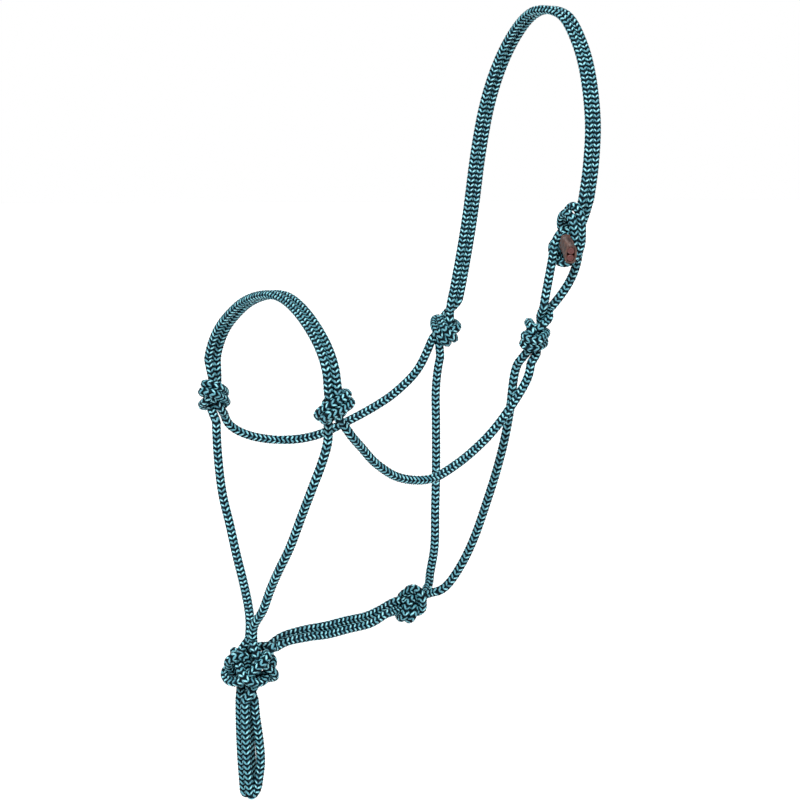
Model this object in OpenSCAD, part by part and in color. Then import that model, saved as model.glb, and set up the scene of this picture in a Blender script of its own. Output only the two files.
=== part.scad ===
// Rope halter for a horse, tied from braided cord.
// +Z is up, the horse faces -Y, and +X is the horse's left, the side that it is tied on.
// The origin is under the top of the crown, where the halter rests behind the ears.
// All lengths are in millimetres.

/* [Rope] */
// Diameter of the braided rope
rope_d = 6.2; // [5:0.1:6.3]
// Sides of each stretch of rope
rope_sides = 8; // [8:1:12]
// Rings of rope between two points of a route
ring_steps = 2; // [1:1:4]
// Distance between the middles of two ropes that lie side by side
pair_pitch = 6.6; // [6.5:0.1:7]

/* [Knots] */
// Radius of the cheek knots
cheek_knot_r = 11.5; // [10:0.1:11.5]
// Width of the cheek knots
cheek_knot_w = 24; // [20:1:28]
// Radius of the nose knots
nose_knot_r = 12; // [10:0.1:12]
// Width of the nose knots
nose_knot_w = 26; // [22:1:28]
// Radius of the throat knot
throat_knot_r = 12.5; // [10:0.1:12.5]
// Width of the throat knot
throat_knot_w = 25; // [20:1:28]
// Radius of the fiador knot under the chin
fiador_knot_r = 12.5; // [10:0.1:12.5]
// Width of the fiador knot
fiador_knot_w = 34; // [28:1:36]

/* [Lead loops] */
// Height of the lowest point of the lead loops
loop_bottom_z = -539; // [-560:1:-520]
// Distance between the middles of the two lead loops
loop_pitch = 6.8; // [6.6:0.1:8]

/* [Popper] */
// Length of the leather popper
popper_l = 21; // [14:1:26]
// Diameter of each rope end where the popper squeezes it
tail_d = 5.4; // [5:0.1:5.8]
// Thickness of the popper's leather
popper_wall = 1.1; // [0.8:0.1:1.5]
// How far the rope ends stand back inside the popper's mouth
popper_mouth = 1; // [0.5:0.1:2]

/* [Hidden] */

rope_r = rope_d / 2;
// Wraps in a knot, and the share of a wrap's thickness from one to the next
wraps = 4;
wrap_share = 0.9;
// Play between the two rope ends, and between them and the popper
end_play = 0.1;
fine = 48;

teal = [0.16, 0.45, 0.5];
teal_dark = [0.1, 0.33, 0.38];
brown = [0.24, 0.13, 0.1];

// Middles of the knots. The cheek and nose knots come in pairs at plus and minus X.
cheek_knot = [53, -51, -229];
nose_knot = [77, -234, -268];
throat_knot_middle = [0, -121, -419];
fiador_knot_middle = [0, -253, -450];

// Step from the middle of a pair of ropes to the rear one
pair_step = [0, pair_pitch / 2, 0];

crown_route = [
    [-50, -47, -216], [-52, -41, -200], [-54, -33, -171], [-57, -25, -141], [-59, -17, -100],
    [-58, -10, -66], [-51, -5, -39], [-39, -1, -17], [-21, 0, -2], [-2, 0, 2], [19, 2, -4],
    [33, 4, -24], [44, 3, -48], [53, 0, -80], [56, -4, -110], [56, -8, -134]
];
hitch_front_route = [
    [56, -11, -134], [53, -12, -142], [50, -11, -152], [45, -12, -160], [41, -18, -158],
    [44, -22, -149], [51, -25, -142], [58, -24, -142], [62, -24, -148], [61, -23, -158],
    [59, -22, -166], [55, -22, -173], [50, -24, -177], [44, -25, -174], [42, -24, -168]
];
hitch_rear_route = [
    [56, -5, -134], [54, -6, -141], [51, -6, -149], [47, -6, -157], [42, -9, -162],
    [39, -14, -157], [40, -15, -147], [46, -17, -139], [54, -17, -136], [60, -17, -138],
    [63, -17, -144], [62, -16, -152], [61, -16, -160], [60, -17, -169], [57, -20, -177],
    [54, -25, -182], [49, -30, -180], [46, -31, -175], [44, -28, -167], [45, -22, -161],
    [49, -19, -161]
];
tie_loop_route = [
    [56, -47, -216], [57, -45, -201], [57, -42, -187], [56, -39, -180], [54, -34, -171],
    [53, -28, -161], [53, -23, -154], [54, -18, -150], [54, -14, -151], [55, -12, -157],
    [55, -12, -166], [55, -13, -174], [56, -15, -182], [56, -17, -191], [54, -23, -198],
    [52, -30, -205], [51, -37, -211], [50, -43, -217]
];
noseband_route = [
    [-78, -234, -254], [-79, -234, -245], [-75, -233, -233], [-67, -232, -222],
    [-54, -231, -212], [-39, -230, -204], [-19, -230, -199], [2, -230, -198], [18, -230, -202],
    [35, -231, -210], [51, -232, -221], [63, -233, -232], [71, -234, -243], [74, -234, -254]
];
cheek_left_route = [
    [78, -229, -278], [77, -222, -287], [73, -211, -296], [70, -197, -308], [67, -176, -319],
    [64, -149, -322], [61, -125, -314], [58, -104, -303], [58, -89, -291], [58, -74, -275],
    [57, -60, -257], [56, -56, -240]
];
cheek_right_route = [
    [-79, -227, -277], [-79, -221, -292], [-76, -205, -301], [-71, -181, -305],
    [-68, -155, -303], [-64, -128, -293], [-60, -105, -282], [-58, -89, -272], [-57, -73, -258],
    [-57, -60, -237]
];
throat_left_route = [
    [46, -57, -241], [46, -63, -254], [48, -67, -267], [48, -69, -281], [46, -72, -301],
    [41, -75, -323], [34, -78, -345], [25, -82, -371], [17, -88, -392], [10, -97, -408],
    [6, -110, -413]
];
throat_right_route = [
    [-52, -54, -242], [-51, -59, -256], [-50, -62, -274], [-47, -64, -295], [-44, -66, -317],
    [-40, -69, -338], [-34, -74, -360], [-25, -81, -384], [-15, -92, -401], [-7, -100, -410],
    [-6, -110, -413]
];
chin_left_route = [
    [71, -235, -281], [70, -236, -293], [67, -239, -307], [62, -243, -323], [53, -245, -341],
    [43, -248, -363], [34, -251, -379], [25, -252, -393], [17, -253, -408], [7, -254, -420],
    [4, -253, -431], [4, -253, -439]
];
chin_right_route = [
    [-71, -235, -281], [-71, -236, -292], [-69, -236, -314], [-65, -235, -339],
    [-57, -234, -360], [-47, -235, -379], [-35, -237, -396], [-22, -241, -410],
    [-11, -246, -421], [-4, -251, -431], [-4, -252, -439]
];
jaw_left_route = [
    [3.5, -241, -443], [3.5, -236, -438], [3.5, -225, -434], [3, -208, -433], [2, -191, -433],
    [2, -174, -431], [3, -157, -429], [3.5, -145, -424], [3.5, -136, -420]
];
jaw_right_route = [
    [-3.5, -241, -443], [-3.5, -236, -438], [-3.5, -225, -432], [-2.5, -208, -429],
    [-2, -191, -428], [-2, -174, -426], [-3, -157, -425], [-3.5, -145, -422], [-3.5, -136, -419]
];
loop_front_leg = [[0, -259, -463], [0, -259, -485], [0, -258, -510], [0, -256, -535]];
loop_left_rear_leg = [[0, -249, -529], [0, -247, -515], [0, -248, -500], [0, -251, -480], [0, -252, -464]];
loop_right_rear_leg = [[0, -249, -529], [0, -250, -515], [0, -251, -500], [0, -252, -480], [0, -252, -464]];

// Back end of the popper, the angles that point it out of the hitch, and the length of rope
// that shows behind it
popper_root = [62, -32, -164];
popper_pitch = 113;
popper_yaw = -26;
tail_root_l = 2;

// A point of the smooth curve through route points, between point i and the next one
function route_point(route, i, t) =
    let (last = len(route) - 1)
    let (b = route[i])
    let (c = route[i + 1])
    let (a = i > 0 ? route[i - 1] : 2 * b - c)
    let (d = i + 1 < last ? route[i + 2] : 2 * c - b)
    0.5 * (2 * b + (c - a) * t + (2 * a - 5 * b + 4 * c - d) * t * t + (3 * b - 3 * c + d - a) * t * t * t);

function smooth_route(route) = concat(
    [for (i = [0 : len(route) - 2], k = [0 : ring_steps - 1]) route_point(route, i, k / ring_steps)],
    [route[len(route) - 1]]
);

function moved(route, step) = [for (point = route) point + step];

function unit(v) = v / norm(v);

function directions(line) = [
    for (i = [0 : len(line) - 1]) unit(line[min(i + 1, len(line) - 1)] - line[max(i - 1, 0)])
];

// Carries a sideways vector along the line without twisting it
function sides_along(dirs, side, i = 0) =
    i == len(dirs) ? [] :
    let (here = unit(side - (side * dirs[i]) * dirs[i]))
    concat([here], sides_along(dirs, here, i + 1));

function ring(middle, dir, side, r) = [
    for (k = [0 : rope_sides - 1])
        let (angle = 360 * k / rope_sides)
        middle + r * cos(angle) * side + r * sin(angle) * cross(dir, side)
];

// One closed tube swept along the points of a line
module tube(line, r = rope_r) {
    dirs = directions(line);
    sides = sides_along(dirs, cross(dirs[0], [0.3, 0.5, 0.8]));
    n = rope_sides;
    last = len(line) - 1;
    points = [for (i = [0 : last]) each ring(line[i], dirs[i], sides[i], r)];
    walls = [
        for (i = [0 : last - 1], k = [0 : n - 1])
            [i * n + k, (i + 1) * n + k, (i + 1) * n + (k + 1) % n, i * n + (k + 1) % n]
    ];
    start_cap = [for (k = [0 : n - 1]) k];
    end_cap = [for (k = [n - 1 : -1 : 0]) last * n + k];
    polyhedron(points, concat([start_cap], walls, [end_cap]), convexity = 6);
}

module rope(route) {
    tube(smooth_route(route));
}

// A knot as a barrel of rope wraps round the X axis, which its ropes flex about
module knot(middle, r, w) {
    wrap_d = w / (1 + wrap_share * (wraps - 1));
    translate(middle)
        rotate([0, 90, 0])
            rotate_extrude($fn = fine)
                intersection() {
                    union() {
                        translate([0, -(w - wrap_d) / 2])
                            square([r - wrap_d / 2, w - wrap_d]);
                        for (i = [0 : wraps - 1])
                            translate([r - wrap_d / 2, (i - (wraps - 1) / 2) * wrap_share * wrap_d])
                                circle(d = wrap_d, $fn = fine);
                    }
                    translate([0, -w])
                        square([2 * r, 2 * w]);
                }
}

function mirrored(point) = [-point[0], point[1], point[2]];

// Half turn at the bottom of a lead loop, from the front leg to the rear leg
function loop_bight(front, rear) =
    let (middle = (front + rear) / 2)
    let (half = (rear - front) / 2)
    let (drop = [0, 0, loop_bottom_z + rope_r - middle[2]])
    [for (angle = [15 : 15 : 165]) middle - half * cos(angle) + drop * sin(angle)];

module lead_loop(side, rear_leg) {
    step = [side * loop_pitch / 2, 0, 0];
    front = smooth_route(loop_front_leg);
    rear = smooth_route(rear_leg);
    bight = loop_bight(front[len(front) - 1], rear[0]);
    color(teal)
        tube(moved(concat(front, bight, rear), step));
}

// Places something drawn along +Z so that it points out of the hitch as the popper does
module at_popper() {
    translate(popper_root)
        rotate([0, 0, popper_yaw])
            rotate([0, popper_pitch, 0])
                children();
}

// Section round the two rope ends side by side, larger than them by extra
module tail_section(extra) {
    for (side = [-1, 1])
        translate([side * tail_d / 2, 0])
            circle(r = tail_d / 2 + extra, $fn = fine);
    square([tail_d, tail_d + 2 * extra], center = true);
}

module crown_rope_front() {
    color(teal)
        rope(moved(crown_route, -pair_step));
}

module crown_rope_rear() {
    color(teal_dark)
        rope(moved(crown_route, pair_step));
}

module crown_hitch() {
    color(teal) {
        rope(hitch_front_route);
        rope(hitch_rear_route);
    }
}

module tie_loop() {
    color(teal_dark)
        rope(tie_loop_route);
}

module crown_tail() {
    color(teal)
        at_popper()
            for (side = [-1, 1])
                translate([side * tail_d / 2, 0, -tail_root_l])
                    cylinder(d = tail_d - end_play, h = tail_root_l + popper_l - popper_mouth, $fn = fine);
}

module leather_popper() {
    color(brown)
        at_popper()
            linear_extrude(popper_l)
                difference() {
                    tail_section(popper_wall);
                    tail_section(0);
                }
}

module cheek_knot_left() {
    color(teal_dark)
        knot(cheek_knot, cheek_knot_r, cheek_knot_w);
}

module cheek_knot_right() {
    color(teal_dark)
        knot(mirrored(cheek_knot), cheek_knot_r, cheek_knot_w);
}

module cheek_rope_left() {
    color(teal)
        rope(cheek_left_route);
}

module cheek_rope_right() {
    color(teal)
        rope(cheek_right_route);
}

module nose_knot_left() {
    color(teal_dark)
        knot(nose_knot, nose_knot_r, nose_knot_w);
}

module nose_knot_right() {
    color(teal_dark)
        knot(mirrored(nose_knot), nose_knot_r, nose_knot_w);
}

module noseband_rope_front() {
    color(teal)
        rope(moved(noseband_route, -pair_step));
}

module noseband_rope_rear() {
    color(teal_dark)
        rope(moved(noseband_route, pair_step));
}

module chin_rope_left() {
    color(teal)
        rope(chin_left_route);
}

module chin_rope_right() {
    color(teal)
        rope(chin_right_route);
}

module fiador_knot() {
    color(teal_dark)
        knot(fiador_knot_middle, fiador_knot_r, fiador_knot_w);
}

module lead_loop_left() {
    lead_loop(1, loop_left_rear_leg);
}

module lead_loop_right() {
    lead_loop(-1, loop_right_rear_leg);
}

module jaw_rope_left() {
    color(teal)
        rope(jaw_left_route);
}

module jaw_rope_right() {
    color(teal_dark)
        rope(jaw_right_route);
}

module throat_knot() {
    color(teal_dark)
        knot(throat_knot_middle, throat_knot_r, throat_knot_w);
}

module throat_rope_left() {
    color(teal)
        rope(throat_left_route);
}

module throat_rope_right() {
    color(teal)
        rope(throat_right_route);
}

crown_rope_front();
crown_rope_rear();
crown_hitch();
tie_loop();
crown_tail();
leather_popper();
cheek_knot_left();
cheek_knot_right();
cheek_rope_left();
cheek_rope_right();
nose_knot_left();
nose_knot_right();
noseband_rope_front();
noseband_rope_rear();
chin_rope_left();
chin_rope_right();
fiador_knot();
lead_loop_left();
lead_loop_right();
jaw_rope_left();
jaw_rope_right();
throat_knot();
throat_rope_left();
throat_rope_right();
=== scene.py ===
import math

import bpy
import numpy as np
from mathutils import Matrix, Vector


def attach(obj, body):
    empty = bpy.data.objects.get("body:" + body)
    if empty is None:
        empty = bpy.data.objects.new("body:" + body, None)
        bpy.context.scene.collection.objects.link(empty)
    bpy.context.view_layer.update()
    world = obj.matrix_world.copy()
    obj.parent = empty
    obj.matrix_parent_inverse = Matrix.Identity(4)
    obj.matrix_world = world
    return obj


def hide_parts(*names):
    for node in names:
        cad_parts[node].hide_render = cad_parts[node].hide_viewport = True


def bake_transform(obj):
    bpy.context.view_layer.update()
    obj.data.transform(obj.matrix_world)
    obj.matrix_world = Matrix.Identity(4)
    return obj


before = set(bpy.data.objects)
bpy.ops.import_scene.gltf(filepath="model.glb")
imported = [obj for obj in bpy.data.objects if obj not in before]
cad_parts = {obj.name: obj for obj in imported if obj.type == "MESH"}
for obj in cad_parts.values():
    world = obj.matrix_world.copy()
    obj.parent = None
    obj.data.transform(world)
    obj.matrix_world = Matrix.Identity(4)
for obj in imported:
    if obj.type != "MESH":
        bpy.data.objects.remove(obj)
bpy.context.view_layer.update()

# ---------------------------------------------------------------- sizes
# Lengths are in metres, in the frame's own axes: +Z up, the horse faces -Y.

ROPE_D = 0.0062
ROPE_R = ROPE_D / 2
PAIR_PITCH = 0.0066
LOOP_PITCH = 0.0068
LOOP_BOTTOM_Z = -0.539

# Sleeve of stitches: columns round the rope, slanting one way and then the other
COLUMNS = 6
COLUMN_STEPS = 5
STITCH = 0.00175
STITCH_RINGS = 4
RING_STEP = STITCH / STITCH_RINGS
SLANT = 0.0022
STITCH_RELIEF = 0.00045
BORDER_DIP = 0.0005
# How fast the sleeve may roll, so that a column border faces the front
ROLL_RATE = math.radians(3.5) / 0.001
# and how much of what is still missing it rolls at each ring
ROLL_SHARE = 0.1

FRONT = math.radians(55)
LOOK_UP = math.radians(5)


def metres(*points):
    return np.array(points, float) * 0.001


# ---------------------------------------------------------------- camera


def add_camera():
    target = Vector((0, -0.129, -0.274))
    back = Vector(
        (
            math.sin(FRONT) * math.cos(LOOK_UP),
            -math.cos(FRONT) * math.cos(LOOK_UP),
            math.sin(LOOK_UP),
        )
    )
    data = bpy.data.cameras.new("camera")
    data.lens = 109.3
    data.sensor_width = 36
    camera = bpy.data.objects.new("camera", data)
    camera.location = target + 1.70 * back
    camera.rotation_euler = back.to_track_quat("Z", "Y").to_euler()
    bpy.context.collection.objects.link(camera)
    bpy.context.scene.camera = camera
    return np.array(back)


towards_front = add_camera()

# ---------------------------------------------------------------- rope routes
# The same points as in the part's source, in metres.

PAIR_STEP = np.array([0, PAIR_PITCH / 2, 0])

crown_route = metres(
    (-50, -47, -216), (-52, -41, -200), (-54, -33, -171), (-57, -25, -141), (-59, -17, -100),
    (-58, -10, -66), (-51, -5, -39), (-39, -1, -17), (-21, 0, -2), (-2, 0, 2), (19, 2, -4),
    (33, 4, -24), (44, 3, -48), (53, 0, -80), (56, -4, -110), (56, -8, -134),
)
hitch_front_route = metres(
    (56, -11, -134), (53, -12, -142), (50, -11, -152), (45, -12, -160), (41, -18, -158),
    (44, -22, -149), (51, -25, -142), (58, -24, -142), (62, -24, -148), (61, -23, -158),
    (59, -22, -166), (55, -22, -173), (50, -24, -177), (44, -25, -174), (42, -24, -168),
)
hitch_rear_route = metres(
    (56, -5, -134), (54, -6, -141), (51, -6, -149), (47, -6, -157), (42, -9, -162),
    (39, -14, -157), (40, -15, -147), (46, -17, -139), (54, -17, -136), (60, -17, -138),
    (63, -17, -144), (62, -16, -152), (61, -16, -160), (60, -17, -169), (57, -20, -177),
    (54, -25, -182), (49, -30, -180), (46, -31, -175), (44, -28, -167), (45, -22, -161),
    (49, -19, -161),
)
tie_loop_route = metres(
    (56, -47, -216), (57, -45, -201), (57, -42, -187), (56, -39, -180), (54, -34, -171),
    (53, -28, -161), (53, -23, -154), (54, -18, -150), (54, -14, -151), (55, -12, -157),
    (55, -12, -166), (55, -13, -174), (56, -15, -182), (56, -17, -191), (54, -23, -198),
    (52, -30, -205), (51, -37, -211), (50, -43, -217),
)
noseband_route = metres(
    (-78, -234, -254), (-79, -234, -245), (-75, -233, -233), (-67, -232, -222), (-54, -231, -212),
    (-39, -230, -204), (-19, -230, -199), (2, -230, -198), (18, -230, -202), (35, -231, -210),
    (51, -232, -221), (63, -233, -232), (71, -234, -243), (74, -234, -254),
)
cheek_left_route = metres(
    (78, -229, -278), (77, -222, -287), (73, -211, -296), (70, -197, -308), (67, -176, -319),
    (64, -149, -322), (61, -125, -314), (58, -104, -303), (58, -89, -291), (58, -74, -275),
    (57, -60, -257), (56, -56, -240),
)
cheek_right_route = metres(
    (-79, -227, -277), (-79, -221, -292), (-76, -205, -301), (-71, -181, -305), (-68, -155, -303),
    (-64, -128, -293), (-60, -105, -282), (-58, -89, -272), (-57, -73, -258), (-57, -60, -237),
)
throat_left_route = metres(
    (46, -57, -241), (46, -63, -254), (48, -67, -267), (48, -69, -281), (46, -72, -301),
    (41, -75, -323), (34, -78, -345), (25, -82, -371), (17, -88, -392), (10, -97, -408),
    (6, -110, -413),
)
throat_right_route = metres(
    (-52, -54, -242), (-51, -59, -256), (-50, -62, -274), (-47, -64, -295), (-44, -66, -317),
    (-40, -69, -338), (-34, -74, -360), (-25, -81, -384), (-15, -92, -401), (-7, -100, -410),
    (-6, -110, -413),
)
chin_left_route = metres(
    (71, -235, -281), (70, -236, -293), (67, -239, -307), (62, -243, -323), (53, -245, -341),
    (43, -248, -363), (34, -251, -379), (25, -252, -393), (17, -253, -408), (7, -254, -420),
    (4, -253, -431), (4, -253, -439),
)
chin_right_route = metres(
    (-71, -235, -281), (-71, -236, -292), (-69, -236, -314), (-65, -235, -339),
    (-57, -234, -360), (-47, -235, -379), (-35, -237, -396), (-22, -241, -410),
    (-11, -246, -421), (-4, -251, -431), (-4, -252, -439),
)
jaw_left_route = metres(
    (3.5, -241, -443), (3.5, -236, -438), (3.5, -225, -434), (3, -208, -433), (2, -191, -433),
    (2, -174, -431), (3, -157, -429), (3.5, -145, -424), (3.5, -136, -420),
)
jaw_right_route = metres(
    (-3.5, -241, -443), (-3.5, -236, -438), (-3.5, -225, -432), (-2.5, -208, -429),
    (-2, -191, -428), (-2, -174, -426), (-3, -157, -425), (-3.5, -145, -422), (-3.5, -136, -419),
)
loop_front_leg = metres((0, -259, -463), (0, -259, -485), (0, -258, -510), (0, -256, -535))
loop_left_rear_leg = metres(
    (0, -249, -529), (0, -247, -515), (0, -248, -500), (0, -251, -480), (0, -252, -464)
)
loop_right_rear_leg = metres(
    (0, -249, -529), (0, -250, -515), (0, -251, -500), (0, -252, -480), (0, -252, -464)
)

# ---------------------------------------------------------------- lines


def lengths_along(line):
    steps = np.linalg.norm(np.diff(line, axis=0), axis=1)
    return np.concatenate([[0], np.cumsum(steps)])


def at_lengths(line, wanted):
    """Points of a line at the wanted lengths along it."""
    along = lengths_along(line)
    return np.stack([np.interp(wanted, along, line[:, k]) for k in range(3)], axis=1)


def spaced(line, count):
    return at_lengths(line, np.linspace(0, lengths_along(line)[-1], count))


def smooth_curve(route, per_point=8):
    """The same Catmull-Rom curve through a route's points as in the part's source."""
    before = 2 * route[0] - route[1]
    after = 2 * route[-1] - route[-2]
    q = np.vstack([before, route, after])
    t = (np.arange(per_point) / per_point)[:, None]
    pieces = []
    for i in range(1, len(q) - 2):
        a, b, c, d = q[i - 1 : i + 3]
        curve = 2 * b + (c - a) * t + (2 * a - 5 * b + 4 * c - d) * t**2 + (3 * b - 3 * c + d - a) * t**3
        pieces.append(0.5 * curve)
    return np.vstack([*pieces, route[-1:]])


def softened(line, passes, share=0.5):
    """Each inner point moves part of the way to the middle of its neighbours."""
    line = line.copy()
    for _ in range(passes):
        line[1:-1] += share * (0.5 * (line[:-2] + line[2:]) - line[1:-1])
    return line


def span(route):
    """A rope's centreline with a point every millimetre."""
    line = smooth_curve(route)
    return spaced(line, int(round(lengths_along(line)[-1] / 0.001)) + 1)


def lead_loop_route(side, rear_leg):
    front = smooth_curve(loop_front_leg)
    rear = smooth_curve(rear_leg)
    middle = (front[-1] + rear[0]) / 2
    half = (rear[0] - front[-1]) / 2
    drop = np.array([0, 0, LOOP_BOTTOM_Z + ROPE_R - middle[2]])
    angles = np.radians(np.arange(15, 180, 15))[:, None]
    bight = middle - half * np.cos(angles) + drop * np.sin(angles)
    return np.vstack([front, bight, rear]) + np.array([side * LOOP_PITCH / 2, 0, 0])


SPANS = {
    "crown_rope_front": span(crown_route - PAIR_STEP),
    "crown_rope_rear": span(crown_route + PAIR_STEP),
    "tie_loop": span(tie_loop_route),
    "noseband_rope_front": span(noseband_route - PAIR_STEP),
    "noseband_rope_rear": span(noseband_route + PAIR_STEP),
    "cheek_rope_left": span(cheek_left_route),
    "cheek_rope_right": span(cheek_right_route),
    "throat_rope_left": span(throat_left_route),
    "throat_rope_right": span(throat_right_route),
    "chin_rope_left": span(chin_left_route),
    "chin_rope_right": span(chin_right_route),
    "jaw_rope_left": span(jaw_left_route),
    "jaw_rope_right": span(jaw_right_route),
    "lead_loop_left": span(lead_loop_route(1, loop_left_rear_leg)),
    "lead_loop_right": span(lead_loop_route(-1, loop_right_rear_leg)),
}

# ---------------------------------------------------------------- tightening knots

# Points of the rope this many diameters apart may touch in the next few rounds
NEAR = 1.6
ROUNDS_BETWEEN_SEARCHES = 5
# The goal lengths are reached after this share of the rounds
SHORTENING = 0.75
# How much of the way two ropes side by side, and a knot's middle, are moved each round
SIDE_PULL = 0.15
CENTRE_PULL = 0.15
# A knot's middle is worked out without this share of the points at each end
ENTRY_SHARE = 0.2
# Points over which the pull to the middle grows from nothing at each end
ENTRY_POINTS = 8


def near_pairs(points, strand_of, index_of, apart, reach):
    """Pairs of points that may touch: near each other, and not neighbours on one strand."""
    i, j = np.triu_indices(len(points), 1)
    near = ((points[i] - points[j]) ** 2).sum(axis=1) < reach**2
    same = strand_of[i] == strand_of[j]
    keep = near & ~(same & (index_of[j] - index_of[i] < apart))
    return i[keep], j[keep]


def tighten(strands, goals, rounds=300, inner=3, bend=0.25, side_by_side=None, centre=None):
    """Shortens rope strands to the goal lengths while they push each other apart to a rope's
    width. The two points at each end stay. side_by_side is where along them, as shares, the
    first two strands keep next to each other, and centre is where a knot's middle stays."""
    counts = [len(s) for s in strands]
    x = np.vstack(strands)
    strand_of = np.repeat(np.arange(len(counts)), counts)
    index_of = np.concatenate([np.arange(n) for n in counts])
    last_of = np.array(counts)[strand_of] - 1
    free = ((index_of >= 2) & (index_of <= last_of - 2)).astype(float)[:, None]
    edges = np.flatnonzero(strand_of[:-1] == strand_of[1:])
    edge_sets = [edges[index_of[edges] % 2 == k] for k in (0, 1)]
    inside = np.flatnonzero((index_of > 0) & (index_of < last_of))
    starts = np.array([lengths_along(s)[-1] for s in strands])
    for k in range(rounds):
        share = min(1, k / (rounds * SHORTENING))
        rest = (starts + (np.array(goals) - starts) * share) / (np.array(counts) - 1)
        if k % ROUNDS_BETWEEN_SEARCHES == 0:
            apart = int(np.ceil(NEAR * ROPE_D / rest.min()))
            a, b = near_pairs(x, strand_of, index_of, apart, ROPE_D * NEAR)
        x[inside] += bend * (0.5 * (x[inside - 1] + x[inside + 1]) - x[inside]) * free[inside]
        if side_by_side:
            keep_beside(x, counts[0], side_by_side)
        if centre is not None:
            from_end = np.minimum(index_of, last_of - index_of)
            core = from_end > ENTRY_SHARE * last_of
            ease = np.clip(from_end / ENTRY_POINTS, 0, 1)[:, None]
            x += CENTRE_PULL * ease * free * (centre - x[core].mean(axis=0))
        for _ in range(inner):
            hold_lengths(x, edge_sets, rest[strand_of], free)
            push_apart(x, a, b, free)
    return np.split(x, np.cumsum(counts)[:-1])


def keep_beside(x, count, share):
    """Draws the first two strands, of count points each, to a rope's width from each other."""
    one = np.arange(int(count * share[0]), int(count * share[1]))
    other = one + count
    v = x[other] - x[one]
    gap = np.linalg.norm(v, axis=1)
    move = (SIDE_PULL * (gap - ROPE_D) / gap)[:, None] * v
    x[one] += move
    x[other] -= move


def hold_lengths(x, edge_sets, rest, free):
    """Moves neighbours on a strand until they are their share of its length apart."""
    for e in edge_sets:
        v = x[e + 1] - x[e]
        long = np.linalg.norm(v, axis=1)
        weight = np.maximum(free[e, 0] + free[e + 1, 0], 1)
        move = ((long - rest[e]) / long / weight)[:, None] * v
        x[e] += move * free[e]
        x[e + 1] -= move * free[e + 1]


def push_apart(x, a, b, free):
    """Moves the paired points that overlap until they are a rope's width apart."""
    v = x[a] - x[b]
    gap = np.linalg.norm(v, axis=1) + 1e-12
    push = (np.maximum(ROPE_D - gap, 0) * 0.5 / gap)[:, None] * v
    touching = (gap < ROPE_D).astype(float)
    total = np.bincount(a, touching, len(x)) + np.bincount(b, touching, len(x))
    move = np.stack(
        [np.bincount(a, push[:, q], len(x)) - np.bincount(b, push[:, q], len(x)) for q in range(3)],
        axis=1,
    )
    x += move / np.sqrt(np.maximum(total, 1))[:, None] * free


# ---------------------------------------------------------------- overhand knots

# How far along each rope from its end a knot's two held points are, in whole millimetres
KNOT_REACH = 8
LOOSE_KNOT = 0.013
# Each of a loose knot's two ropes stands this many diameters off the curve between them
LOOSE_OFFSET = 0.55
# A tight knot takes this much more rope than a straight way through it
KNOT_SLACK = 0.048
KNOT_POINTS = 72
KNOT_BESIDE = (0.03, 0.85)


def knot_end(name, at_start):
    """The two held points of a rope that goes into a knot, the outer one first."""
    line = SPANS[name] if at_start else SPANS[name][::-1]
    return line[[KNOT_REACH + 2, KNOT_REACH]]


def trefoil(size, hand, points=160):
    """A loose overhand knot's curve, from its top to its bottom."""
    t = np.linspace(-2.05, 2.05, points)
    x = hand * (t**3 - 3 * t) / 2
    y = (t**4 - 4 * t**2) / 4
    z = -0.8 * (t**5 / 5 - 2 * t) / 2.5
    return size * np.stack([x, y, z], axis=1)


def carried_sides(line, side):
    """A sideways unit vector carried along a line without twisting it."""
    tangents = np.gradient(line, axis=0)
    tangents /= np.linalg.norm(tangents, axis=1)[:, None]
    sides = []
    for t in tangents:
        side = side - (side @ t) * t
        side = side / np.linalg.norm(side)
        sides.append(side)
    return np.array(sides), tangents


def axes_up(up, roll):
    """Three axes as columns, the last one along up and the others rolled about it."""
    z = up / np.linalg.norm(up)
    x = np.cross([0, 0, 1] if abs(z[2]) < 0.9 else [1, 0, 0], z)
    x = x / np.linalg.norm(x)
    y = np.cross(z, x)
    c, s = math.cos(roll), math.sin(roll)
    return np.stack([c * x + s * y, c * y - s * x, z], axis=1)


def far_sum(p, q):
    """How far two points are from two others, each from its own."""
    return np.linalg.norm(p[0] - q[0]) + np.linalg.norm(p[1] - q[1])


def overhand_knot(centre, tops, bottoms, hand, roll, side_roll):
    """Two ropes side by side, tied in an overhand knot and pulled tight. Each end is a rope's
    name and whether the knot is at its start. Returns (rope above, rope below, line) twice."""
    top_ends = [knot_end(*end) for end in tops]
    bottom_ends = [knot_end(*end) for end in bottoms]
    up = np.mean([e[-1] for e in top_ends], axis=0) - np.mean([e[-1] for e in bottom_ends], axis=0)
    axes = axes_up(up, math.radians(roll))
    curve = trefoil(LOOSE_KNOT, hand)
    side = np.array([0, math.sin(math.radians(side_roll)), math.cos(math.radians(side_roll))])
    sides, _ = carried_sides(curve, side)
    both = [(curve + s * sides * LOOSE_OFFSET * ROPE_D) @ axes.T + centre for s in (1, -1)]
    above = [e[-1] for e in top_ends]
    below = [e[-1] for e in bottom_ends]
    if far_sum([c[0] for c in both], above) > far_sum([c[0] for c in both], above[::-1]):
        both = both[::-1]
    order = [0, 1]
    if far_sum([c[-1] for c in both], below) > far_sum([c[-1] for c in both], below[::-1]):
        order = [1, 0]
    strands = [
        np.vstack([top_ends[k], spaced(both[k], KNOT_POINTS - 4), bottom_ends[order[k]][::-1]])
        for k in (0, 1)
    ]
    goals = [
        np.linalg.norm(s[0] - centre) + np.linalg.norm(s[-1] - centre) + KNOT_SLACK for s in strands
    ]
    tight = tighten(strands, goals, side_by_side=KNOT_BESIDE, centre=centre)
    return [(tops[k][0], bottoms[order[k]][0], tight[k]) for k in (0, 1)]


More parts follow.
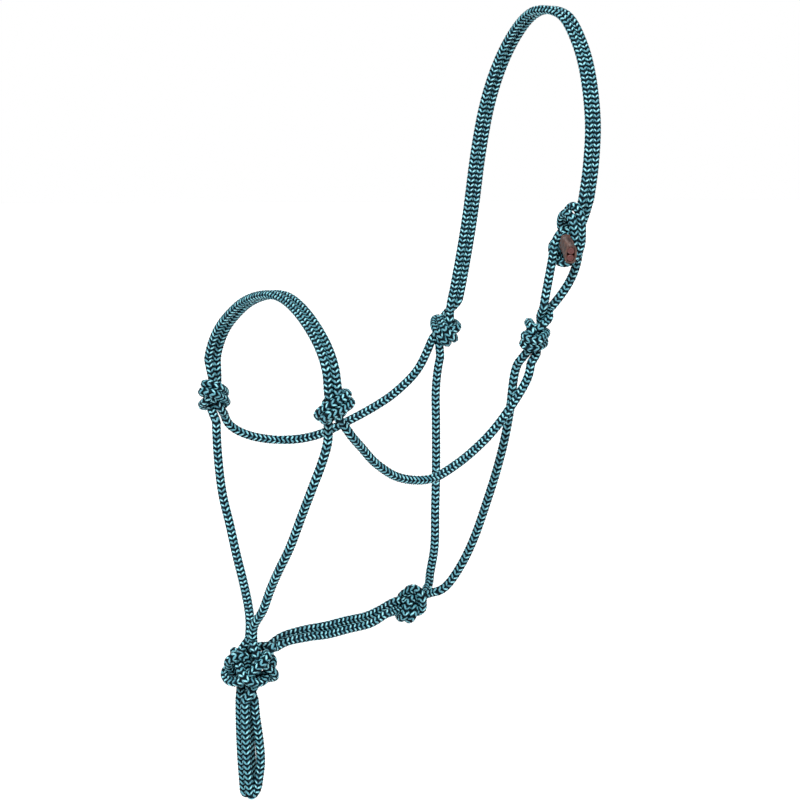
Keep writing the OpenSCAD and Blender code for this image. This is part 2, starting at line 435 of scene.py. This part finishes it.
# Middle, the ropes that go in above and below (True: the knot is at the rope's start), and how
# the knot is turned
OVERHAND_KNOTS = {
    "cheek_knot_left": (
        (53, -51, -229),
        (("tie_loop", True), ("tie_loop", False)),
        (("cheek_rope_left", False), ("throat_rope_left", True)),
        (1, 60, 45),
    ),
    "cheek_knot_right": (
        (-53, -51, -229),
        (("crown_rope_front", True), ("crown_rope_rear", True)),
        (("cheek_rope_right", False), ("throat_rope_right", True)),
        (-1, 240, 45),
    ),
    "nose_knot_left": (
        (77, -234, -268),
        (("noseband_rope_front", False), ("noseband_rope_rear", False)),
        (("cheek_rope_left", True), ("chin_rope_left", True)),
        (1, 315, 70),
    ),
    "nose_knot_right": (
        (-77, -234, -271),
        (("noseband_rope_front", True), ("noseband_rope_rear", True)),
        (("cheek_rope_right", True), ("chin_rope_right", True)),
        (-1, 60, 70),
    ),
    "throat_knot": (
        (0, -121, -419),
        (("throat_rope_left", False), ("throat_rope_right", False)),
        (("jaw_rope_left", False), ("jaw_rope_right", False)),
        (1, 300, 45),
    ),
}

strands = []
for knot_name, (middle, tops, bottoms, turned) in OVERHAND_KNOTS.items():
    for above, below, line in overhand_knot(metres(middle)[0], tops, bottoms, *turned):
        strands.append((knot_name, line))


# ---------------------------------------------------------------- fiador knot

FIADOR_MIDDLE = metres((0, -253, -450))[0]
FIADOR_R = 0.015
FIADOR_H = 0.022
FIADOR_WEAVE = 0.0035
FIADOR_CORE_R = 0.0044
FIADOR_SHRINK = 0.78


def round_the_knot(radius, degrees, height):
    a = math.radians(degrees)
    return FIADOR_MIDDLE + np.array([radius * math.cos(a), radius * math.sin(a), height])


def fiador_strand(top, bottom, start):
    """Over the top rim, down the shell, up it again past the next ropes, then down the core."""
    sweep = 120
    line = [round_the_knot(0.55 * FIADOR_R, start, 0.75 * FIADOR_H)]
    for leg, height in ((0, 1), (1, -1)):
        for s in np.linspace(leg / 8, 1, 9 - leg):
            radius = FIADOR_R - FIADOR_WEAVE * math.sin(2 * math.pi * s)
            degrees = start + 15 + sweep * (leg + s)
            line.append(round_the_knot(radius, degrees, 0.5 * height * FIADOR_H * math.cos(math.pi * s)))
    inward = start + 270
    line.append(round_the_knot(0.6 * FIADOR_R, inward, 0.62 * FIADOR_H))
    line += [round_the_knot(FIADOR_CORE_R, inward, h * FIADOR_H) for h in (0.25, -0.3, -0.9)]
    inner = spaced(smooth_curve(np.array(line), 6), 106)
    return np.vstack([top, inner, bottom[::-1]])


def fiador_knot():
    """The four ropes from the chin and the jaw become the four legs of the lead loops."""
    loop_left, loop_right = SPANS["lead_loop_left"], SPANS["lead_loop_right"]
    held = [KNOT_REACH + 2, KNOT_REACH]
    plan = [
        (SPANS["chin_rope_left"][::-1], loop_right, -45),
        (SPANS["chin_rope_right"][::-1], loop_right[::-1], -135),
        (SPANS["jaw_rope_right"], loop_left, 135),
        (SPANS["jaw_rope_left"], loop_left[::-1], 45),
    ]
    loose = [fiador_strand(above[held], below[held], start) for above, below, start in plan]
    goals = [FIADOR_SHRINK * lengths_along(s)[-1] for s in loose]
    return tighten(loose, goals, rounds=260)


# ---------------------------------------------------------------- hitch and popper

POPPER_ROOT = metres((62, -32, -164))[0]
POPPER_L = 0.021
POPPER_WALL = 0.0011
POPPER_MOUTH = 0.001
TAIL_D = 0.0054
TAIL_ROOT_L = 0.002


def popper_axes():
    """The popper's own axes as columns, the last one pointing out of the hitch."""
    pitch = math.radians(113)
    yaw = math.radians(-26)
    about_y = np.array(
        [[math.cos(pitch), 0, math.sin(pitch)], [0, 1, 0], [-math.sin(pitch), 0, math.cos(pitch)]]
    )
    about_z = np.array(
        [[math.cos(yaw), -math.sin(yaw), 0], [math.sin(yaw), math.cos(yaw), 0], [0, 0, 1]]
    )
    return about_z @ about_y


POPPER_AXES = popper_axes()


def at_popper(points):
    return POPPER_ROOT + np.asarray(points, float) @ POPPER_AXES.T


def tail_line(side):
    """Held points of a rope end where it goes into the popper, and on to its sealed end."""
    along = np.arange(-TAIL_ROOT_L, POPPER_L - POPPER_MOUTH + 1e-6, 0.001)
    offset = np.full_like(along, side * TAIL_D / 2)
    return at_popper(np.stack([offset, np.zeros_like(along), along], axis=1))


# The hitch's ropes are pulled to this share of their routes' lengths
HITCH_SHORTENED = 0.85
HITCH_STEP = 0.002


def tied_hitch():
    """The crown's two ends round the tie loop, each on to its end in the popper, and the tie
    loop itself."""
    lines = []
    for route, crown, side in (
        (hitch_front_route, "crown_rope_front", 1),
        (hitch_rear_route, "crown_rope_rear", -1),
    ):
        tail = tail_line(side)
        curve = np.vstack([SPANS[crown][[-3, -1]], smooth_curve(route)[8:], tail[:3]])
        lines.append(spaced(curve, int(lengths_along(curve)[-1] / HITCH_STEP)))
        lines[-1][:2] = SPANS[crown][[-3, -1]]
        lines[-1][-2:] = tail[[0, 2]]
    loop = SPANS["tie_loop"][KNOT_REACH + 2 : -KNOT_REACH - 2]
    lines.append(spaced(loop, int(lengths_along(loop)[-1] / HITCH_STEP)))
    goals = [HITCH_SHORTENED * lengths_along(line)[-1] for line in lines]
    return tighten(lines, goals, rounds=160, bend=0.1)


# ---------------------------------------------------------------- the whole rope

# Two strands' ends nearer than this are the same point
SAME_PLACE = 1e-5

for line in fiador_knot():
    strands.append(("fiador_knot", line))

hitch_front, hitch_rear, tied_loop = tied_hitch()
for line, side in ((hitch_front, 1), (hitch_rear, -1)):
    strands.append(("crown_hitch", line))
    strands.append(("crown_tail", tail_line(side)[2:]))

for name, line in SPANS.items():
    cut = line[KNOT_REACH + 2 : -KNOT_REACH - 2]
    if name.startswith("crown"):
        cut = line[KNOT_REACH + 2 : -2]
    if name == "tie_loop":
        cut = tied_loop
    strands.append((name, cut))


def joined(rope, left):
    """Moves the first strand that shares an end with the rope from left to the rope. Says
    whether there was one."""
    head, tail = rope[0][1][0], rope[-1][1][-1]
    for k, (name, line) in enumerate(left):
        for way in (line, line[::-1]):
            if np.linalg.norm(way[0] - tail) < SAME_PLACE:
                rope.append((name, way))
            elif np.linalg.norm(way[-1] - head) < SAME_PLACE:
                rope.insert(0, (name, way))
            else:
                continue
            left.pop(k)
            return True
    return False


def chained(parts):
    """Joins strands that share an end into whole ropes: lists of (name, line)."""
    left = list(parts)
    ropes = []
    while left:
        rope = [left.pop(0)]
        while joined(rope, left):
            pass
        ropes.append(rope)
    return ropes


# ---------------------------------------------------------------- rings of the sleeve

KNOT_MIDDLES = {name: metres(spec[0])[0] for name, spec in OVERHAND_KNOTS.items()}
KNOT_MIDDLES["fiador_knot"] = FIADOR_MIDDLE
# A rope's own piece starts this far from a knot's middle, where the knot hides the seam
KNOT_SEAM_R = {name: 0.0125 for name in OVERHAND_KNOTS}
KNOT_SEAM_R["fiador_knot"] = 0.0155


FINE_STEP = 0.0005
FINE_SOFTENING = 12


def ring_line(rope):
    """A rope's smooth centreline, a point every ring, and the node that each ring belongs to."""
    line = np.vstack([rope[0][1][:1], *[part[1:] for _, part in rope]])
    fine = spaced(line, int(lengths_along(line)[-1] / FINE_STEP))
    fine = softened(fine, FINE_SOFTENING)
    stretch = lengths_along(line)[-1] / lengths_along(fine)[-1]
    count = int(lengths_along(fine)[-1] / RING_STEP / STITCH_RINGS) * STITCH_RINGS + 1
    rings = spaced(fine, count)
    ends = np.cumsum([lengths_along(part)[-1] for _, part in rope]) / stretch
    along = lengths_along(rings)
    owner = np.searchsorted(ends[:-1], along)
    names = [name for name, _ in rope]
    for k, name in enumerate(names):
        if name in KNOT_MIDDLES:
            own = np.flatnonzero(owner == k)
            away = np.linalg.norm(rings[own] - KNOT_MIDDLES[name], axis=1)
            within = own[away < KNOT_SEAM_R[name]]
            owner[own[own < within[0]]] = k - 1
            owner[own[own > within[-1]]] = k + 1
    return rings, owner, names


def rolled_frames(line):
    """Two sideways axes for each ring. They turn slowly about the rope, so that a border
    between two columns of stitches faces the front and its chevrons point down."""
    first, tangents = carried_sides(line, np.array([0.3, 0.5, 0.8]))
    second = np.cross(tangents, first)
    across = towards_front @ first.T
    along_second = towards_front @ second.T
    wanted = np.arctan2(along_second, across)
    flatness = across**2 + along_second**2
    turn = 4 * math.pi / COLUMNS
    offset = np.where(tangents[:, 2] < 0, turn / 2, 0)
    roll = np.zeros(len(line))
    now = 0.0
    limit = ROLL_RATE * RING_STEP
    for i in range(len(line)):
        error = (wanted[i] - offset[i] - now + turn / 2) % turn - turn / 2
        now += float(np.clip(ROLL_SHARE * error * flatness[i], -limit, limit))
        roll[i] = now
    c, s = np.cos(roll)[:, None], np.sin(roll)[:, None]
    return c * first + s * second, c * second - s * first


AROUND = COLUMNS * COLUMN_STEPS
# The popper squeezes the last stretch of rope at each end
SQUEEZE = 0.16
SQUEEZED_L = 0.022
EASE_L = 0.005


def thickness(line):
    """The rope's radius at each ring."""
    along = lengths_along(line)
    from_end = np.minimum(along, along[-1] - along)
    return (ROPE_R + 0.0001) * (1 - SQUEEZE * np.clip((SQUEEZED_L + EASE_L - from_end) / EASE_L, 0, 1))


def sleeve_points(line, first, second, radii, start, end):
    """Rings start to end of the braided sleeve. Each ring zigzags along the rope, from one
    border of a column to the other, so that its stitches slant."""
    k = np.arange(AROUND)
    share = (k % COLUMN_STEPS) / COLUMN_STEPS
    zigzag = np.where((k // COLUMN_STEPS) % 2 == 0, share, 1 - share)
    rows = np.arange(start, end + 1)
    place = np.clip(rows[:, None] + zigzag[None] * SLANT / RING_STEP, 0, len(line) - 1)
    low = np.minimum(place.astype(int), len(line) - 2)
    part = (place - low)[..., None]
    middle = line[low] * (1 - part) + line[low + 1] * part
    one = first[low] * (1 - part) + first[low + 1] * part
    two = second[low] * (1 - part) + second[low + 1] * part
    phase = (rows % STITCH_RINGS) / STITCH_RINGS
    rise = np.sin(math.pi * phase) ** 0.8
    column = np.sin(math.pi * share) ** 0.5
    radius = radii[rows][:, None] - STITCH_RELIEF * (1 - rise)[:, None] - BORDER_DIP * (1 - column)[None]
    angle = 2 * math.pi * k / AROUND
    out = np.cos(angle)[None, :, None] * one + np.sin(angle)[None, :, None] * two
    return middle + radius[..., None] * out


# Places of the yarns and of the melted rope ends in a rope's list of materials. The first is a lighter
# teal painted on as a painted highlight, and the third a darker teal painted on as painted shade.
HIGHLIGHT_TEAL, TEAL, SHADE_TEAL, BLACK, WORN, MELTED = range(6)


def tube_quads(rings, sides):
    """The quads between a tube's rings of points, one ring after another."""
    rows = np.arange(rings - 1)[:, None] * sides
    k = np.arange(sides)[None]
    after = (k + 1) % sides
    quads = np.stack([rows + k, rows + after, rows + sides + after, rows + sides + k], axis=-1)
    return quads.reshape(-1, 4)


def sleeve_faces(start, end):
    """Quads between the rings, and for each the yarn that shows there: teal stitches with a painted
    highlight on their crowns, painted shade where they dive under at their ends and sides, black painted
    as shade at their corners, and black stitches between them."""
    rows = np.arange(start, end)[:, None]
    k = np.arange(AROUND)[None]
    stitch = rows // STITCH_RINGS
    ring = rows % STITCH_RINGS
    column = k // COLUMN_STEPS
    step = k % COLUMN_STEPS
    mixed = (stitch * 7 + column * 13 + stitch * column * 5) % 11
    crown = (ring == 1) | (ring == 2)
    middle = (step > 0) & (step < COLUMN_STEPS - 1)
    # Painted highlight: a lighter teal on the crown of most teal stitches, over the middle of their
    # column
    crown_highlight = np.where(mixed % 3 == 0, TEAL, HIGHLIGHT_TEAL)
    # Painted shade: a darker teal on the ends and sides of about half the teal stitches, where they dive
    # under
    dive_shade = np.where(mixed % 2, SHADE_TEAL, TEAL)
    # The corners of each teal stitch are painted black as shade
    teal = np.where(crown & middle, crown_highlight, np.where(crown | middle, dive_shade, BLACK))
    black = np.where(mixed % 4 == 0, WORN, BLACK)
    yarn = np.where(stitch % 2 == 0, teal, black).reshape(-1)
    return tube_quads(end - start + 1, AROUND), yarn


def sealed_end(middle, out, one, two, radius):
    """The melted face of a rope end: a low dome with a dimple and a rolled rim."""
    shares = np.array([1.0, 1.06, 1.0, 0.86, 0.72, 0.6, 0.48, 0.34, 0.18, 0.02])
    heights = 0.0001 * np.array([-12, -2, 4, 7, 6, 3, 3, 6, 7, 7])
    angle = 2 * math.pi * np.arange(AROUND) / AROUND
    uneven = 1 + 0.05 * np.sin(3 * angle + 1) + 0.03 * np.sin(7 * angle)
    ring = np.cos(angle)[:, None] * one + np.sin(angle)[:, None] * two
    points = middle + heights[:, None, None] * out
    points = points + radius * shares[:, None, None] * (uneven[:, None] * ring)[None]
    quads = tube_quads(len(shares), AROUND)
    return points, quads, np.full(len(quads), MELTED)


def quad_mesh(name, points, quads, slots, materials):
    mesh = bpy.data.meshes.new(name)
    mesh.vertices.add(len(points))
    mesh.vertices.foreach_set("co", points.astype(np.float32).ravel())
    mesh.loops.add(quads.size)
    mesh.loops.foreach_set("vertex_index", quads.astype(np.int32).ravel())
    mesh.polygons.add(len(quads))
    mesh.polygons.foreach_set("loop_start", np.arange(0, quads.size, 4, dtype=np.int32))
    for material in materials:
        mesh.materials.append(material)
    mesh.polygons.foreach_set("material_index", slots.astype(np.int32))
    mesh.polygons.foreach_set("use_smooth", np.ones(len(quads), bool))
    mesh.update(calc_edges=True)
    mesh.validate()
    obj = bpy.data.objects.new(name, mesh)
    bpy.context.collection.objects.link(obj)
    return obj


def add_rope_pieces(materials):
    """One piece for each CAD node, cut from the whole rope. Returns the pieces, and the
    centreline of each."""
    parts = {}
    for rope in chained(strands):
        line, owner, names = ring_line(rope)
        first, second = rolled_frames(line)
        radii = thickness(line)
        cuts = np.flatnonzero(np.diff(owner)) + 1
        edges = [0, *cuts, len(line) - 1]
        for start, end in zip(edges, edges[1:]):
            points = sleeve_points(line, first, second, radii, start, end)
            quads, yarn = sleeve_faces(start, end)
            cut = (points, quads, yarn, line[start : end + 1])
            parts.setdefault(names[owner[start]], []).append(cut)
        for end, inner in ((0, 1), (-1, -2)):
            out = (line[end] - line[inner]) / np.linalg.norm(line[end] - line[inner])
            melted = sealed_end(line[end], out, first[end], second[end], radii[end] - 0.0002)
            parts[names[owner[end]]].append((*melted, line[:1]))
    pieces = {}
    centrelines = {}
    for name, cut in parts.items():
        shift = np.cumsum([0] + [p.shape[0] * p.shape[1] for p, *_ in cut])
        points = np.vstack([p.reshape(-1, 3) for p, *_ in cut])
        quads = np.vstack([q + s for (_, q, *_), s in zip(cut, shift)])
        slots = np.concatenate([y for _, _, y, _ in cut])
        pieces[name] = quad_mesh("rope_" + name, points, quads, slots, materials)
        centrelines[name] = cut[0][3]
        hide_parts(name)
    return pieces, centrelines


# ---------------------------------------------------------------- leather popper

POPPER_RINGS = 40
POPPER_SIDES = 96


def popper_profile():
    """Places along the popper, and how far each stands from the rope ends' middles: up inside
    it to the mouth, over the lip, down the outside and in again at the back."""
    inner = TAIL_D / 2
    half_wall = POPPER_WALL / 2
    turn = np.radians(np.arange(180, -1, -20))
    back_turn = np.radians(np.arange(0, 181, 20))
    middle = inner + half_wall
    lip = [
        (POPPER_L - half_wall * (1 - math.sin(a)), middle + half_wall * math.cos(a)) for a in turn
    ]
    back = [(half_wall * (1 - math.sin(a)), middle + half_wall * math.cos(a)) for a in back_turn]
    inside = [(z, inner) for z in np.linspace(POPPER_L - 0.004, POPPER_L - 0.001, 6)]
    outside = [(z, inner + POPPER_WALL) for z in np.linspace(POPPER_L - 0.001, 0.001, POPPER_RINGS)]
    return np.array([*inside, *lip, *outside, *back, (0.003, inner)])


def add_popper(material):
    along, reach = popper_profile().T[..., None]
    angle = 2 * math.pi * np.arange(POPPER_SIDES)[None] / POPPER_SIDES
    share = along / POPPER_L
    waves = 0.00016 * np.sin(3 * angle + 5 * share) + 0.0001 * np.sin(5 * angle - 9 * share + 1)
    pinch = -0.0003 * np.exp(-(((share - 0.12) / 0.1) ** 2)) + 0.0003 * share**6
    # The leather's edge laps over itself along one side
    lap = 0.00045 * np.clip((2.6 - angle) / 0.12, 0, 1) * np.clip((angle - 1.2) / 1.2, 0, 1)
    outer = np.clip((reach - TAIL_D / 2) / POPPER_WALL, 0, 1)
    reach = reach + outer * (waves + pinch + lap)
    middle = TAIL_D / 2 * np.clip(1.6 * np.cos(angle), -1, 1)
    skew = 0.0005 * np.sin(angle + 0.6) * share**4
    local = np.stack([middle + reach * np.cos(angle), reach * np.sin(angle), along + skew], axis=-1)
    quads = tube_quads(len(along), POPPER_SIDES)
    points = at_popper(local.reshape(-1, 3))
    popper = quad_mesh("popper_sleeve", points, quads, np.zeros(len(quads), int), [material])
    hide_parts("leather_popper")
    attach(popper, "popper")


# ---------------------------------------------------------------- materials


def shader(name):
    material = bpy.data.materials.new(name)
    material.use_nodes = True
    return material, material.node_tree.nodes, material.node_tree.links


def yarn_material(name, colour, roughness, shine):
    material, nodes, links = shader(name)
    bsdf = nodes["Principled BSDF"]
    bsdf.inputs["Base Color"].default_value = (*colour, 1)
    bsdf.inputs["Roughness"].default_value = roughness
    bsdf.inputs["Specular IOR Level"].default_value = shine
    place = nodes.new("ShaderNodeTexCoord")
    fibres = nodes.new("ShaderNodeTexNoise")
    fibres.inputs["Scale"].default_value = 2600
    fibres.inputs["Detail"].default_value = 3
    bump = nodes.new("ShaderNodeBump")
    bump.inputs["Strength"].default_value = 0.35
    bump.inputs["Distance"].default_value = 0.0001
    links.new(place.outputs["Object"], fibres.inputs["Vector"])
    links.new(fibres.outputs["Fac"], bump.inputs["Height"])
    links.new(bump.outputs["Normal"], bsdf.inputs["Normal"])
    return material


def leather_material():
    material, nodes, links = shader("oiled_leather")
    bsdf = nodes["Principled BSDF"]
    place = nodes.new("ShaderNodeTexCoord")
    mottle = nodes.new("ShaderNodeTexNoise")
    mottle.inputs["Scale"].default_value = 260
    mottle.inputs["Detail"].default_value = 6
    tones = nodes.new("ShaderNodeValToRGB")
    tones.color_ramp.elements[0].position = 0.35
    tones.color_ramp.elements[0].color = (0.030, 0.011, 0.008, 1)
    tones.color_ramp.elements[1].position = 0.7
    tones.color_ramp.elements[1].color = (0.105, 0.043, 0.027, 1)
    grain = nodes.new("ShaderNodeTexVoronoi")
    grain.inputs["Scale"].default_value = 1700
    bump = nodes.new("ShaderNodeBump")
    bump.inputs["Strength"].default_value = 0.5
    bump.inputs["Distance"].default_value = 0.0002
    bsdf.inputs["Roughness"].default_value = 0.42
    links.new(place.outputs["Object"], mottle.inputs["Vector"])
    links.new(place.outputs["Object"], grain.inputs["Vector"])
    links.new(mottle.outputs["Fac"], tones.inputs["Fac"])
    links.new(tones.outputs["Color"], bsdf.inputs["Base Color"])
    links.new(grain.outputs["Distance"], bump.inputs["Height"])
    links.new(bump.outputs["Normal"], bsdf.inputs["Normal"])
    return material


yarns = [
    # Lighter teal, painted on the stitch crowns as a painted highlight
    yarn_material("teal_yarn_painted_highlight", (0.30, 0.72, 0.80), 0.32, 0.6),
    yarn_material("teal_yarn", (0.09, 0.31, 0.38), 0.38, 0.5),
    # Darker teal, painted as shade where the stitches dive under
    yarn_material("teal_yarn_painted_shade", (0.03, 0.13, 0.18), 0.45, 0.3),
    # The black yarn, also painted as shade at the teal stitches' corners
    yarn_material("black_yarn", (0.0006, 0.005, 0.008), 0.6, 0.05),
    yarn_material("black_yarn_worn", (0.002, 0.012, 0.018), 0.6, 0.08),
    yarn_material("melted_rope_end", (0.11, 0.026, 0.022), 0.38, 0.5),
]

pieces, centrelines = add_rope_pieces(yarns)
add_popper(leather_material())

# All the stretches between knots are of the same rope.


# ---------------------------------------------------------------- riding, and baking the other pieces' transforms

RIDES = {
    "crown": ["crown_hitch"],
    "popper": ["crown_tail"],
    "cheeks": [
        "cheek_knot_left",
        "cheek_knot_right",
        "cheek_rope_left",
        "cheek_rope_right",
        "nose_knot_left",
        "nose_knot_right",
    ],
    "chin": ["fiador_knot"],
    "throat": ["throat_knot"],
}
for body, nodes in RIDES.items():
    for node in nodes:
        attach(pieces[node], body)


def blend_all(nodes):
    for node in nodes:
        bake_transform(pieces[node])


blend_all(["crown_rope_front", "crown_rope_rear"])
blend_all(["tie_loop"])
blend_all(
    ["noseband_rope_front", "noseband_rope_rear"]
)
blend_all(["chin_rope_left", "chin_rope_right"])
blend_all(["throat_rope_left", "throat_rope_right"])
blend_all(["jaw_rope_left", "jaw_rope_right"])
for side in ("left", "right"):
    blend_all(["lead_loop_" + side])

# ---------------------------------------------------------------- stage and lights


def plain_material(name, colour):
    material, nodes, _ = shader(name)
    nodes["Principled BSDF"].inputs["Base Color"].default_value = (*colour, 1)
    nodes["Principled BSDF"].inputs["Roughness"].default_value = 0.9
    nodes["Principled BSDF"].inputs["Specular IOR Level"].default_value = 0.1
    return material


AMBIENT = 0.4


def add_floor():
    mesh = bpy.data.meshes.new("floor")
    half = 60.0
    height = -0.60
    corners = [(x, y, height) for x, y in ((-half, -half), (half, -half), (half, half), (-half, half))]
    mesh.from_pydata(corners, [], [(0, 1, 2, 3)])
    mesh.materials.append(plain_material("floor", (0.93, 0.93, 0.93)))
    floor = bpy.data.objects.new("floor", mesh)
    bpy.context.collection.objects.link(floor)


def add_sun(name, direction, strength, degrees):
    """A soft light from far away, so that the whole floor is lit evenly."""
    data = bpy.data.lights.new(name, "SUN")
    data.energy = strength
    data.angle = math.radians(degrees)
    light = bpy.data.objects.new(name, data)
    light.rotation_euler = Vector(direction).to_track_quat("Z", "Y").to_euler()
    bpy.context.collection.objects.link(light)


def add_world():
    """White to the camera, and dimmer as a light."""
    world = bpy.data.worlds.new("studio")
    world.use_nodes = True
    nodes, links = world.node_tree.nodes, world.node_tree.links
    rays = nodes.new("ShaderNodeLightPath")
    strength = nodes.new("ShaderNodeMapRange")
    strength.inputs["To Min"].default_value = AMBIENT
    strength.inputs["To Max"].default_value = 1.0
    nodes["Background"].inputs["Color"].default_value = (1, 1, 1, 1)
    links.new(rays.outputs["Is Camera Ray"], strength.inputs["Value"])
    links.new(strength.outputs["Result"], nodes["Background"].inputs["Strength"])
    bpy.context.scene.world = world


add_floor()
add_world()
add_sun("key", (0.7, -0.9, 1.1), 3.2, 20)
add_sun("fill", (1.0, 0.6, 0.8), 0.8, 40)
add_sun("back", (-1.0, 0.5, 0.9), 0.7, 40)
bpy.context.scene.view_settings.view_transform = "Standard"
